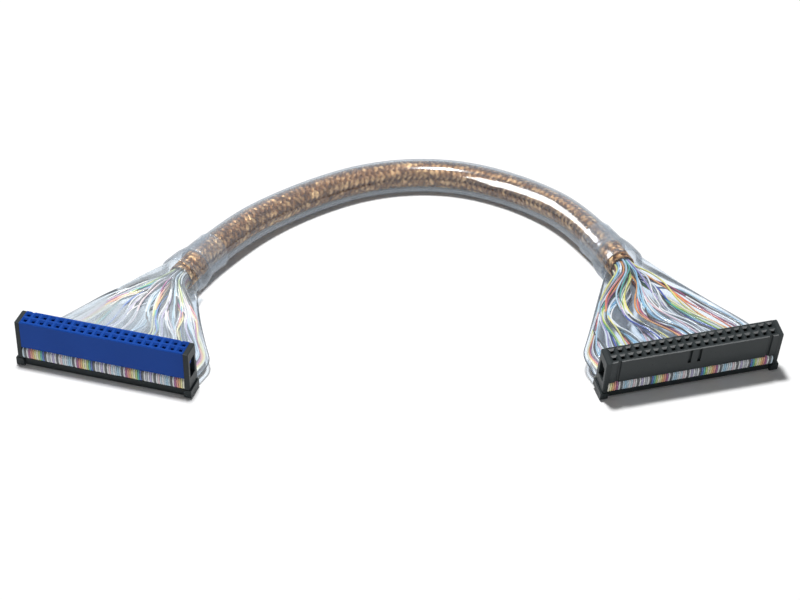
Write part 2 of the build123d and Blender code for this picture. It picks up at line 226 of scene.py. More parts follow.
# =============================================================================================
# Properties
# =============================================================================================
class TrunkSettings(bpy.types.PropertyGroup):
    """Sizes of the round part of the cable."""

    jacket_diameter: bpy.props.FloatProperty(
        name="Jacket diameter", description="Outside of the clear jacket",
        default=10.8 * MM, min=2 * MM, unit="LENGTH")
    jacket_wall: bpy.props.FloatProperty(
        name="Jacket wall", description="Thickness of the clear jacket",
        default=0.5 * MM, min=0.1 * MM, unit="LENGTH")
    braid_diameter: bpy.props.FloatProperty(
        name="Braid diameter", description="Outside of the copper braid",
        default=8.5 * MM, min=2 * MM, unit="LENGTH")
    carriers: bpy.props.IntProperty(
        name="Carriers", description="Flat groups of strands wound each way",
        default=16, min=4)
    strands: bpy.props.IntProperty(
        name="Strands", description="Strands side by side in each group", default=3, min=1)
    strand_diameter: bpy.props.FloatProperty(
        name="Strand diameter", description="Diameter of one copper strand",
        default=0.42 * MM, min=0.05 * MM, unit="LENGTH")
    lay: bpy.props.FloatProperty(
        name="Lay", description="Length along the trunk of one turn of a strand",
        default=30 * MM, min=5 * MM, unit="LENGTH")
    braid_shift: bpy.props.FloatProperty(
        name="Braid shift", description="How far the braid lies towards the outside of the bend",
        default=0.45 * MM, unit="LENGTH")
    braid_lift: bpy.props.FloatProperty(
        name="Braid lift", description="How far the braid stands above the jacket's middle",
        default=0.30 * MM, unit="LENGTH")


class FanSettings(bpy.types.PropertyGroup):
    """Sizes of the fanned wires, their film sleeves and the collars."""

    wire_diameter: bpy.props.FloatProperty(
        name="Wire diameter", description="Outside of one insulated wire",
        default=0.56 * MM, min=0.1 * MM, unit="LENGTH")
    wander: bpy.props.FloatProperty(
        name="Wander", description="How far groups of wires stray from a straight fan",
        default=0.19, min=0.0, max=0.5, subtype="FACTOR")
    film: bpy.props.FloatProperty(
        name="Film", description="Thickness of the clear sleeve",
        default=0.15 * MM, min=0.02 * MM, unit="LENGTH")
    crease: bpy.props.FloatProperty(
        name="Crease", description="Height of the creases in the sleeve",
        default=0.22 * MM, min=0.0, unit="LENGTH")
    collar_length: bpy.props.FloatProperty(
        name="Collar length", description="Length of the clear tube over the braid's end",
        default=17.0 * MM, min=5 * MM, unit="LENGTH")
    collar_wall: bpy.props.FloatProperty(
        name="Collar wall", description="Thickness of the collar",
        default=0.4 * MM, min=0.1 * MM, unit="LENGTH")


class FinishSettings(bpy.types.PropertyGroup):
    """Colours of the pieces."""

    blue: bpy.props.FloatVectorProperty(
        name="Blue moulding", description="Colour of the blue socket", subtype="COLOR",
        default=(0.002, 0.056, 0.33), min=0, max=1)
    black: bpy.props.FloatVectorProperty(
        name="Black moulding", description="Colour of the black socket and the clamps",
        subtype="COLOR", default=(0.014, 0.020, 0.022), min=0, max=1)
    copper: bpy.props.FloatVectorProperty(
        name="Copper", description="Bright colour of the strands", subtype="COLOR",
        default=(0.27, 0.128, 0.048), min=0, max=1)
    # dull stop of the copper: random dull lengths, and painted shade where a strand passes under
    # another
    tarnish_and_shade: bpy.props.FloatVectorProperty(
        name="Tarnish_and_shade", description="Dull colour of the strands", subtype="COLOR",
        default=(0.088, 0.031, 0.010), min=0, max=1)
    haze: bpy.props.FloatVectorProperty(
        name="Haze", description="Colour of the clear plastic where it is seen edge on",
        subtype="COLOR", default=(0.46, 0.53, 0.61), min=0, max=1)


class StageSettings(bpy.types.PropertyGroup):
    """Light and camera."""

    elevation: bpy.props.FloatProperty(
        name="Elevation", description="Angle of the camera above the floor",
        default=radians(37), subtype="ANGLE")
    distance: bpy.props.FloatProperty(
        name="Distance", description="From the camera to the middle of the cable",
        default=0.7357, min=0.1, unit="LENGTH")
    lens: bpy.props.FloatProperty(
        name="Lens", description="Focal length in millimetres", default=108.9, min=10)
    key: bpy.props.FloatProperty(
        name="Key", description="Power of the lamp overhead in watts", default=12.0, min=0)
    sky: bpy.props.FloatProperty(
        name="Sky", description="Strength of the even light from all round",
        default=0.14, min=0)


# =============================================================================================
# Shader nodes
# =============================================================================================
class Value:
    """One output of a node. Arithmetic on it adds the Math nodes."""

    def __init__(self, nodes, socket):
        self.nodes = nodes
        self.socket = socket

    def math(self, operation, first, second):
        return self.nodes.add("ShaderNodeMath", {"operation": operation}, {0: first, 1: second})

    def __add__(self, other):
        return self.math("ADD", self, other)

    def __radd__(self, other):
        return self.math("ADD", other, self)

    def __sub__(self, other):
        return self.math("SUBTRACT", self, other)

    def __rsub__(self, other):
        return self.math("SUBTRACT", other, self)

    def __mul__(self, other):
        return self.math("MULTIPLY", self, other)

    def __rmul__(self, other):
        return self.math("MULTIPLY", other, self)

    def __pow__(self, other):
        return self.math("POWER", self, other)


class Nodes:
    """A node tree, and the one way that nodes are added to it."""

    def __init__(self, tree):
        self.tree = tree
        tree.nodes.clear()

    def add(self, kind, settings=None, sockets=None, output=0):
        """A node with its settings, then its sockets' values or links; returns one output."""
        node = self.tree.nodes.new(kind)
        for key, value in (settings or {}).items():
            if key == "stops":
                self.set_stops(node.color_ramp, value)
            else:
                setattr(node, key, value)
        for key, value in (sockets or {}).items():
            socket = node.inputs[key]
            if isinstance(value, Value):
                self.tree.links.new(value.socket, socket)
            elif socket.type == "RGBA":
                socket.default_value = (*value, 1)
            else:
                socket.default_value = value
        return Value(self, node.outputs[output]) if node.outputs else None

    @staticmethod
    def set_stops(ramp, stops):
        for place, _colour in stops[len(ramp.elements):]:
            ramp.elements.new(place)
        for element, (place, colour) in zip(ramp.elements, stops):
            element.position = place
            element.color = (*colour, 1)


class Paint(Nodes):
    """The nodes of one material or world."""

    def __init__(self, owner):
        owner.use_nodes = True
        super().__init__(owner.node_tree)
        self.owner = owner

    def place(self, scale=(1, 1, 1), shift=(0, 0, 0)):
        """Object coordinates, stretched by scale and moved by shift."""
        where = self.add("ShaderNodeTexCoord", output="Object")
        return self.add("ShaderNodeMapping", None,
                        {"Vector": where, "Scale": scale, "Location": shift})

    def noise(self, scale, detail=2.0, roughness=0.5, where=None):
        return self.add("ShaderNodeTexNoise", None, {
            "Scale": scale, "Detail": detail, "Roughness": roughness,
            "Vector": where or self.place()})

    def attribute(self, name, output="Fac"):
        return self.add("ShaderNodeAttribute", {"attribute_name": name}, output=output)

    def facing(self):
        """0 where a surface faces the eye, 1 where it is seen edge on."""
        return self.add("ShaderNodeLayerWeight", None, {"Blend": 0.5}, "Facing")

    def ramp(self, factor, stops):
        return self.add("ShaderNodeValToRGB", {"stops": stops}, {"Fac": factor})

    def mixed(self, factor, first, second):
        """Mix two colours."""
        return self.add("ShaderNodeMix", {"data_type": "RGBA"}, {0: factor, 6: first, 7: second}, 2)

    def blend(self, factor, first, second):
        """Mix two shaders."""
        return self.add("ShaderNodeMixShader", None, {0: factor, 1: first, 2: second})

    def bump(self, height, strength, distance):
        return self.add("ShaderNodeBump", None,
                        {"Height": height, "Strength": strength, "Distance": distance})

    def window(self, colour):
        return self.add("ShaderNodeBsdfTransparent", None, {"Color": colour})

    def principled(self, **sockets):
        named = {key.replace("_", " "): value for key, value in sockets.items()}
        return self.add("ShaderNodeBsdfPrincipled", None, named)

    def glossed(self, wall, sheen, gloss, normal):
        """A wall under a mirror of its own, which sheen brings in."""
        mirror = self.add("ShaderNodeBsdfAnisotropic", None,
                          {"Color": PURE_WHITE, "Roughness": gloss, "Normal": normal})
        return self.blend(sheen, wall, mirror)

    def finish(self, shader, output="ShaderNodeOutputMaterial"):
        self.add(output, None, {"Surface": shader})
        return self.owner


def painted(name):
    """The nodes of a new material."""
    return Paint(bpy.data.materials.new(name))


def moulded(name, colour, roughness, spread, shine):
    """Moulded plastic: fine spark texture, faint flow shading, small changes of gloss."""
    paint = painted(name)
    grain = paint.noise(2600.0, 3.0, 0.6)
    flow = paint.noise(55.0, 2.0, 0.5, paint.place((1.0, 1.0, 0.4)))
    lighter = tuple(min(1.0, part * 1.25 + 0.004) for part in colour)
    darker = tuple(part * 0.82 for part in colour)
    tone = paint.mixed(flow, darker, lighter)
    dull = roughness + (grain - 0.5) * spread
    normal = paint.bump(grain, 0.35, 0.02 * MM)
    return paint.finish(paint.principled(
        Base_Color=tone, Roughness=dull, Normal=normal, Specular_IOR_Level=shine))


def sprung_metal(name):
    """Gold-flashed strip, with rolling lines along it."""
    paint = painted(name)
    lines = paint.noise(900.0, 2.0, 0.6, paint.place((1.0, 1.0, 0.06)))
    tone = paint.mixed(lines, (0.78, 0.56, 0.24), (0.92, 0.74, 0.40))
    return paint.finish(paint.principled(
        Base_Color=tone, Metallic=1.0, Roughness=0.22 + lines * 0.15))


def woven_copper(name, bright, dull, phase):
    """Bare strands: bright and dull lengths, painted shade where they pass under and a painted
    highlight where they lie over, fine drawing lines.
    """
    paint = painted(name)
    where = paint.place(shift=(phase, 0, 0))
    lengths = paint.noise(420.0, 2.0, 0.55, where)
    patches = paint.noise(90.0, 2.0, 0.5, where)
    # the strand's height adds painted shade under a crossing and a painted highlight over it; the
    # last stop is a painted highlight colour
    shine = lengths * 0.95 + patches * 0.22 + paint.attribute(TINT) * 0.25
    tone = paint.ramp(shine, [(0.62, dull), (0.80, bright), (0.96, (0.76, 0.50, 0.25))])
    drawn = paint.noise(5200.0, 2.0, 0.5, where)
    return paint.finish(paint.principled(
        Base_Color=tone, Metallic=1.0, Roughness=0.30 + lengths * 0.18,
        Normal=paint.bump(drawn, 0.2, 0.01 * MM)))


def insulation(name):
    """Extruded insulation in each wire's own colour, glossy, with faint unevenness."""
    paint = painted(name)
    own = paint.attribute(TINT, "Color")
    cloud = paint.noise(350.0, 2.0, 0.5)
    tone = paint.mixed(cloud * 0.12, own, (0.9, 0.92, 0.95))
    return paint.finish(paint.principled(
        Base_Color=tone, Roughness=0.20 + cloud * 0.12, Coat_Weight=0.4, Coat_Roughness=0.08,
        Normal=paint.bump(cloud, 0.15, 0.05 * MM)))


def clear_plastic(name, haze, ripple_scale, cloud_scale, ripple_height):
    """Clear soft plastic: see-through face on, grey-blue edge on, dark at its very outline."""
    body, edge, gloss = 0.02, 0.95, 0.14
    paint = painted(name)
    ripple = paint.noise(ripple_scale)
    cloud = paint.noise(cloud_scale)
    normal = paint.bump(ripple, ripple_height, 0.4 * MM)
    facing = paint.facing()
    outline = facing ** 4.0
    share = (body * (cloud * 0.8 + 0.6) + (facing ** 2.8) * edge) * (1 - outline * 0.8)
    seen_through = paint.blend(outline, paint.window(CLEAR), paint.window(DEEP))
    milky = paint.principled(
        Base_Color=haze, Roughness=0.25, Normal=normal, Specular_IOR_Level=0.5)
    wall = paint.blend(share, seen_through, milky)
    sheen = 0.04 + (facing ** 5.0) * 0.12
    return paint.finish(paint.glossed(wall, sheen, gloss, normal))


def creased_film(name, tone, seam):
    """Thin film: clouded where its veil says so, dark and dense along its two folded edges."""
    paint = painted(name)
    ripple = paint.noise(260.0)
    cloud = paint.noise(160.0, 3.0, 0.6)
    normal = paint.bump(ripple, 0.2, 0.4 * MM)
    facing = paint.facing()
    fold = paint.attribute("fold")
    share = paint.attribute("veil") * (cloud * 1.2 + 0.4) + (facing ** 4.0) * 0.45 + fold * 0.6
    milky = paint.principled(
        Base_Color=paint.mixed(fold, tone, seam), Roughness=0.3, Normal=normal,
        Specular_IOR_Level=0.3)
    wall = paint.blend(share, paint.window(CLEAR), milky)
    sheen = 0.015 + (facing ** 5.0) * 0.2
    return paint.finish(paint.glossed(wall, sheen, 0.2, normal))


# =============================================================================================
# Geometry helpers
# =============================================================================================
def unit(vectors):
    """The same directions with a length of 1."""
    return vectors / np.linalg.norm(vectors, axis=-1, keepdims=True)


def eased(share):
    """A smooth step from 0 to 1, level before and after."""
    share = np.clip(share, 0, 1)
    return share ** 2 * (3 - 2 * share)


def full_turn(facets):
    """Evenly spaced angles, the last one short of the first."""
    return np.linspace(0, 2 * pi, facets + 1)[:-1]


def link(obj):
    """Put an object in the scene."""
    bpy.context.scene.collection.objects.link(obj)
    return obj


def mesh_piece(name, points, faces, material):
    """A smooth mesh object at the origin, with one material."""
    mesh = bpy.data.meshes.new(name)
    mesh.from_pydata([tuple(point) for point in points], [], faces)
    mesh.materials.append(material)
    mesh.shade_smooth()
    mesh.update()
    return link(bpy.data.objects.new(name, mesh))


def grid_faces(rings, around, start=0, flip=False):
    """Quads between rings of points that are closed round."""
    faces = []
    for ring in range(rings - 1):
        for step in range(around):
            near = start + ring * around
            after = (step + 1) % around
            quad = (near + step, near + after, near + around + after, near + around + step)
            faces.append(quad[::-1] if flip else quad)
    return faces


def walled_tube(name, outer, inner, material, marks=None):
    """Closed tube with a wall, from matching rings of outer and inner points.

    marks names values for its material, one for each point of a surface.
    """
    rings, around = outer.shape[:2]
    points = np.concatenate([outer.reshape(-1, 3), inner.reshape(-1, 3)])
    below = rings * around
    faces = grid_faces(rings, around) + grid_faces(rings, around, below, True)
    last = (rings - 1) * around
    for step in range(around):
        after = (step + 1) % around
        faces.append((after, step, below + step, below + after))
        faces.append((last + step, last + after, below + last + after, below + last + step))
    piece = mesh_piece(name, points, faces, material)
    for mark, values in (marks or {}).items():
        layer = piece.data.attributes.new(mark, "FLOAT", "POINT")
        layer.data.foreach_set("value", np.tile(values.ravel(), 2).astype(np.float32))
    return piece


def route_line():
    """Points of the trunk's smooth centreline, read from the route's NURBS spline."""
    curve = bpy.data.curves.new("trunk_route", "CURVE")
    curve.dimensions = "3D"
    spline = curve.splines.new("NURBS")
    spline.points.add(len(TRUNK_ROUTE) - 1)
    for point, place in zip(spline.points, TRUNK_ROUTE):
        point.co = (*place, 1)
    spline.order_u = 3
    spline.use_endpoint_u = True
    curve.resolution_u = ROUTE_STEPS
    carrier = bpy.data.objects.new("trunk_route", curve)
    mesh = bpy.data.meshes.new_from_object(carrier)
    line = np.array([vertex.co for vertex in mesh.vertices])
    bpy.data.meshes.remove(mesh)
    bpy.data.curves.remove(curve)
    return line


class Trunk:
    """The trunk's centreline with its length, and a steady frame at any distance along it."""

    def __init__(self):
        self.line = route_line()
        steps = np.linalg.norm(np.diff(self.line, axis=0), axis=1)
        self.along = np.concatenate([[0], np.cumsum(steps)])
        self.length = float(self.along[-1])
        self.tangents = unit(np.gradient(self.line, self.along, axis=0))

    def at(self, distance):
        """Points, directions, outward sides and ups at distances along the trunk."""
        place = np.stack([np.interp(distance, self.along, self.line[:, k]) for k in range(3)], -1)
        ahead = unit(np.stack([np.interp(distance, self.along, self.tangents[:, k])
                               for k in range(3)], -1))
        side = unit(np.cross(np.array([0.0, 0.0, 1.0]), ahead))
        up = np.cross(ahead, side)
        return place, ahead, side, up

    def ring(self, distance, angle, radius, shift=0.0, lift=0.0):
        """Points on a round layer; the side direction points out of the bend."""
        place, _ahead, side, up = self.at(distance)
        across = (radius * np.cos(angle) + shift)[..., None]
        rise = (radius * np.sin(angle) + lift)[..., None]
        return place + side * across + up * rise

    def inner_ring(self, distance, angle, radius, settings):
        """Points on a layer inside the jacket, which lies off its middle away from the ends."""
        free = eased(np.minimum(distance, self.length - distance) / CENTRED_END)
        return self.ring(distance, angle, radius,
                         settings.braid_shift * free, settings.braid_lift * free)


class Seat:
    """A socket's own frame: X along it, Y out of its back, Z out of its holes."""

    def __init__(self, side):
        mount = next(m for m in frame["record"]["mounts"] if m["name"] == FACE_MOUNT[side])
        upward = np.array(mount["axis"], float)
        mesh = frame["nodes"][f"{side}_contacts_front_row"].data
        points = np.array([vertex.co for vertex in mesh.vertices])
        middle = (points.max(0) + points.min(0)) / 2
        # the row of contacts runs along the socket, so its widest spread gives the direction
        _values, ways = np.linalg.eigh(np.cov((points - middle).T))
        along = ways[:, -1] * np.sign(ways[0, -1])
        along = unit(along - upward * (along @ upward))
        self.x, self.z = along, unit(upward)
        self.y = np.cross(self.z, self.x)
        self.origin = np.array(mount["pos_m"]) - self.z * SOCKET_HEIGHT

    def point(self, x, y, z):
        """Points of the frame from the socket's own sizes."""
        return (self.origin + np.multiply.outer(x, self.x) + np.multiply.outer(y, self.y)
                + np.multiply.outer(z, self.z))


class Fan:
    """The space between a socket's back and the trunk's mouth, as a smooth run of sections."""

    def __init__(self, side, trunk):
        self.side = side
        self.seat = Seat(side)
        self.places = bundle_places(BUNDLE_PITCH)
        inward = INWARD[side]
        ends = np.array([0.0, 1.0 * MM])
        if side == "right":
            ends = trunk.length - ends
        place = trunk.at(ends)[0]
        self.mouth = place[0]
        self.ahead = unit(place[1] - place[0])
        self.across = unit(self.seat.x - self.ahead * (self.seat.x @ self.ahead))
        self.rise = np.cross(self.ahead, self.across)
        flat_x = unit(self.seat.x * np.array([1, 1, 0]))
        flat_y = np.array([-flat_x[1], flat_x[0], 0])
        rows = []
        for behind, shift, width, thickness, climb, turn in FAN_SECTIONS:
            exit_point = self.seat.point(inward * shift, behind, LOWER_PASS)
            centre = self.seat.origin + flat_x * inward * shift + flat_y * behind
            centre[2] = exit_point[2] * (1 - climb) + self.mouth[2] * climb
            if turn == 0:
                # the sleeve's first section sits square on the socket's back
                centre = exit_point
            across = self.seat.x * (1 - turn) + self.across * turn
            rise = self.seat.z * (1 - turn) + self.rise * turn
            rows.append((centre, unit(across), unit(rise), width / 2, thickness / 2))
        for along, width in (NECK, TIP):
            rows.append((self.mouth + self.ahead * along, self.across, self.rise,
                         width / 2, width / 2))
        self.rows = rows
        gaps = [np.linalg.norm(b[0] - a[0]) for a, b in zip(rows, rows[1:])]
        self.knots = np.concatenate([[0], np.cumsum(gaps)])
        self.length = float(self.knots[-1])

    def at(self, distance):
        """Centre, across, rise, half width and half thickness, with softly rounded corners."""
        found = []
        nearby = np.linspace(-1, 1, CORNER_SAMPLES) * CORNER_ROUNDING
        spots = np.clip(distance[:, None] + nearby, 0, self.length)
        for part in range(len(self.rows[0])):
            values = np.array([row[part] for row in self.rows], float).reshape(len(self.rows), -1)
            tracks = [np.interp(spots, self.knots, values[:, k]).mean(1)
                      for k in range(values.shape[1])]
            found.append(np.stack(tracks, -1) if len(tracks) > 1 else tracks[0])
        found[1] = unit(found[1])
        found[2] = unit(found[2])
        return found


def bundle_places(pitch):
    """Places of the wires in the round bundle, ordered along the socket."""
    reach = range(-BUNDLE_REACH, BUNDLE_REACH + 1)
    grid = [(column * pitch, row * pitch) for column in reach for row in reach]
    nearest = sorted(grid, key=lambda spot: (round(spot[0] ** 2 + spot[1] ** 2, 9), spot))
    return sorted(nearest[:WIRES])


# =============================================================================================
# Geometry Nodes: one tree that sweeps a round section along every line of a mesh
# =============================================================================================
def sweep_tree(material):
    """Node group: lines in, round rods out, with the lines' attributes kept."""
    tree = bpy.data.node_groups.new("rods_along_lines", "GeometryNodeTree")
    face = tree.interface
    face.new_socket("Geometry", in_out="INPUT", socket_type="NodeSocketGeometry")
    face.new_socket("Radius", in_out="INPUT", socket_type="NodeSocketFloat")
    face.new_socket("Facets", in_out="INPUT", socket_type="NodeSocketInt")
    face.new_socket("Geometry", in_out="OUTPUT", socket_type="NodeSocketGeometry")
    nodes = Nodes(tree)
    lines = nodes.add("NodeGroupInput", output="Geometry")
    radius = nodes.add("NodeGroupInput", output="Radius")
    facets = nodes.add("NodeGroupInput", output="Facets")
    curve = nodes.add("GeometryNodeMeshToCurve", None, {"Mesh": lines})
    section = nodes.add("GeometryNodeCurvePrimitiveCircle", None,
                        {"Radius": radius, "Resolution": facets})
    swept = nodes.add("GeometryNodeCurveToMesh", None,
                      {"Curve": curve, "Profile Curve": section, "Fill Caps": True})
    smooth = nodes.add("GeometryNodeSetShadeSmooth", None, {"Geometry": swept})
    real = nodes.add("GeometryNodeRealizeInstances", None, {"Geometry": smooth})
    coat = nodes.add("GeometryNodeSetMaterial", None, {"Geometry": real, "Material": material})
    nodes.add("NodeGroupOutput", None, {"Geometry": coat})
    return tree


def rods(name, lines, radius, facets, material, tints):
    """A mesh of round rods, one along each line of points, tinted rod by rod or point by point."""
    count, steps = lines.shape[:2]
    mesh = bpy.data.meshes.new(name)
    edges = [(line * steps + step, line * steps + step + 1)
             for line in range(count) for step in range(steps - 1)]
    mesh.from_pydata([tuple(point) for point in lines.reshape(-1, 3)], edges, [])
    layer = mesh.attributes.new(TINT, "FLOAT_COLOR", "POINT")
    spread = np.ones((count, steps, 4), np.float32)
    spread[..., :3] = tints if tints.ndim == 3 else tints[:, None]
    layer.data.foreach_set("color", spread.ravel())
    obj = link(bpy.data.objects.new(name, mesh))
    modifier = obj.modifiers.new("rods", "NODES")
    modifier.node_group = sweep_tree(material)
    for item in modifier.node_group.interface.items_tree:
        if item.in_out == "INPUT" and item.name in ("Radius", "Facets"):
            modifier[item.identifier] = radius if item.name == "Radius" else facets
    settled = obj.evaluated_get(bpy.context.evaluated_depsgraph_get())
    made = bpy.data.meshes.new_from_object(settled)
    obj.modifiers.remove(modifier)
    obj.data = made
    made.name = name
    bpy.data.meshes.remove(mesh)
    return obj


# =============================================================================================
# Pieces
# =============================================================================================
class CABLE_OT_stage(bpy.types.Operator):
    """Lay a pale floor and set the lamps and the camera"""

    bl_idname = "cable.stage"
    bl_label = "Stage"

    def execute(self, context):
        settings = context.scene.cable_stage
        self.floor()
        self.world(settings.sky)
        self.lamps(settings.key)
        self.camera(settings)
        return {"FINISHED"}

    def floor(self):
        """A wide pale floor that shows white and keeps the shadow."""
        paint = painted("pale_floor")
        eye = paint.add("ShaderNodeLightPath", output="Is Camera Ray")
        matt = paint.add("ShaderNodeBsdfDiffuse", None, {"Color": FLOOR_COLOUR})
        white = paint.add("ShaderNodeEmission", None, {"Color": PURE_WHITE, "Strength": 1.0})
        corners = ((-1, -1), (1, -1), (1, 1), (-1, 1))
        floor = mesh_piece(
            "floor", [(x * FLOOR_REACH, y * FLOOR_REACH, -FLOOR_DROP) for x, y in corners],
            [(0, 1, 2, 3)], paint.finish(paint.blend(eye * 0.02, matt, white)))

    def world(self, strength):
        """Even pale light; the eye and the mirrors see it white."""
        world = bpy.data.worlds.new("pale_room")
        bpy.context.scene.world = world
        paint = Paint(world)
        eye = paint.add("ShaderNodeLightPath", output="Is Camera Ray")
        mirror = paint.add("ShaderNodeLightPath", output="Is Glossy Ray")
        seen = paint.add("ShaderNodeMath", {"operation": "MAXIMUM"}, {0: eye, 1: mirror})
        pale = paint.add("ShaderNodeBackground", None, {"Color": SKY_COLOUR, "Strength": strength})
        white = paint.add("ShaderNodeBackground", None, {"Color": PURE_WHITE, "Strength": 1.0})
        paint.finish(paint.blend(seen, pale, white), "ShaderNodeOutputWorld")

    def lamp(self, name, place, size, power):
        """A rectangular lamp that faces the middle of the cable and is itself unseen."""
        light = bpy.data.lights.new(name, "AREA")
        light.shape = "RECTANGLE"
        light.size, light.size_y = size
        light.energy = power
        lamp = link(bpy.data.objects.new(name, light))
        lamp.location = place
        aim = Vector(LAMP_AIM) - Vector(place)
        lamp.rotation_euler = aim.to_track_quat("-Z", "Y").to_euler()
        lamp.visible_camera = False
        return lamp

    def lamps(self, key):
        """The lamp overhead, and two that only show as highlights on the pieces linked to them."""
        main = self.lamp("key_lamp", place=(-0.08, 0.08, 1.10), size=(0.14, 0.14), power=key)
        main.light_linking.blocker_collection = bpy.data.collections.new(UNSHADED)
        streak = self.lamp(
            "streak_lamp", place=(-0.85, -0.05, 0.88), size=(1.5, 0.65), power=46.0)
        gleam = self.lamp("gleam_lamp", place=(0.1, -1.0, 0.46), size=(1.6, 0.26), power=22.0)
        for lamp, pieces in ((streak, STREAKED), (gleam, GLEAMING)):
            lamp.visible_diffuse = False
            lamp.light_linking.receiver_collection = bpy.data.collections.new(pieces)

    def camera(self, settings):
        """In front of the sockets, at the elevation and distance of the settings."""
        data = bpy.data.cameras.new("camera")
        data.lens = settings.lens
        data.clip_start, data.clip_end = 0.05, 20.0
        camera = link(bpy.data.objects.new("camera", data))
        forward = Vector((0, -cos(settings.elevation), sin(settings.elevation)))
        camera.location = Vector(VIEW_MIDDLE) + forward * settings.distance
        camera.rotation_euler = (pi / 2 - settings.elevation, 0, 0)
        bpy.context.scene.camera = camera
        bpy.context.scene.view_settings.view_transform = "Standard"


class CABLE_OT_jacket(bpy.types.Operator):
    """Make the clear jacket along the trunk's route"""

    bl_idname = "cable.jacket"
    bl_label = "Clear jacket"

    def execute(self, context):
        settings = context.scene.cable_trunk
        trunk = Trunk()
        distance = np.linspace(JACKET_SETBACK, trunk.length - JACKET_SETBACK, JACKET_RINGS)
        spans, turns = np.meshgrid(distance, full_turn(JACKET_FACETS), indexing="ij")
        swell = JACKET_SWELL * np.sin(spans / JACKET_SWELL_LENGTH) * np.cos(turns)
        radius = settings.jacket_diameter / 2 - JACKET_MARGIN + swell
        outer = trunk.ring(spans, turns, radius)
        inner = trunk.ring(spans, turns, radius - settings.jacket_wall)
        haze = tuple(context.scene.cable_finish.haze)
        clear = clear_plastic(
            "clear_tube", haze, ripple_scale=140.0, cloud_scale=60.0, ripple_height=0.12)
        piece = walled_tube("clear_jacket", outer, inner, clear)
        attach(piece, "root")
        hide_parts("trunk_jacket")
        shown_to(STREAKED, piece)
        throws_no_shadow(piece)
        line = trunk.at(distance)[0]
        return {"FINISHED"}


class CABLE_OT_braid(bpy.types.Operator):
    """Weave the copper braid, strand by strand"""

    bl_idname = "cable.braid"
    bl_label = "Copper braid"

    def execute(self, context):
        settings = context.scene.cable_trunk
        finish = context.scene.cable_finish
        trunk = Trunk()
        distance = np.linspace(0, trunk.length, int(trunk.length / STRAND_STEP))
        middle = settings.braid_diameter / 2 - settings.strand_diameter
        slope = np.arctan2(2 * pi * middle, settings.lay)
        gap = settings.strand_diameter * STRAND_CLOSENESS / middle / cos(slope)
        for way, name in ((1, "braid_wound_right"), (-1, "braid_wound_left")):
            turn = way * 2 * pi * distance / settings.lay
            lines = []
            heights = []
            for carrier in range(settings.carriers):
                start = 2 * pi * carrier / settings.carriers
                # each strand goes over two carriers of the other way, then under two
                beat = settings.carriers * way * (turn + start) / 2
                wave = way * np.tanh(CROSSING_SHARPNESS * np.sin(beat + pi / 4))
                radius = middle + wave * settings.strand_diameter / 2
                for strand in range(settings.strands):
                    angle = start + turn + (strand - (settings.strands - 1) / 2) * gap
                    lines.append(trunk.inner_ring(distance, angle, radius, settings))
                    # this height is what the copper paints as shade under a crossing and as
                    # highlight over it
                    heights.append(np.repeat(0.5 + 0.5 * wave[:, None], 3, axis=1))
            copper = woven_copper(name.replace("braid", "copper"), tuple(finish.copper),
                                  tuple(finish.tarnish_and_shade), 0.1 * way)
            piece = rods(name, np.array(lines), settings.strand_diameter / 2, STRAND_FACETS,
                         copper, np.array(heights))
            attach(piece, "root")
            if way == 1:
                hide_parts("copper_braid")
        return {"FINISHED"}


class CABLE_OT_bundle(bpy.types.Operator):
    """Fill the braid with its bundle of wires"""

    bl_idname = "cable.bundle"
    bl_label = "Bundled wires"

    def execute(self, context):
        settings = context.scene.cable_trunk
        trunk = Trunk()
        distance = np.linspace(BUNDLE_END, trunk.length - BUNDLE_END, LAYER_STEPS)
        wire = context.scene.cable_fan.wire_diameter
        radius = settings.braid_diameter / 2 - LAYER_DEPTH * settings.strand_diameter - wire / 2
        lines = np.array([
            trunk.inner_ring(distance, start + distance / BUNDLE_TWIST, radius, settings)
            for start in full_turn(LAYER_WIRES)])
        colours = np.array([WIRE_COLOURS[(LAYER_COLOUR_STEP * step) % len(WIRE_COLOURS)]
                            for step in range(LAYER_WIRES)])
        # the bundle's colours are darkened by a painted shade
        piece = rods("bundled_wires", lines, pi * radius / LAYER_WIRES * LAYER_OVERLAP, WIRE_FACETS,
                     insulation("bundle_insulation"), colours * LAYER_PAINTED_SHADE)
        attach(piece, "root")
        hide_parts("wire_bundle")
        return {"FINISHED"}


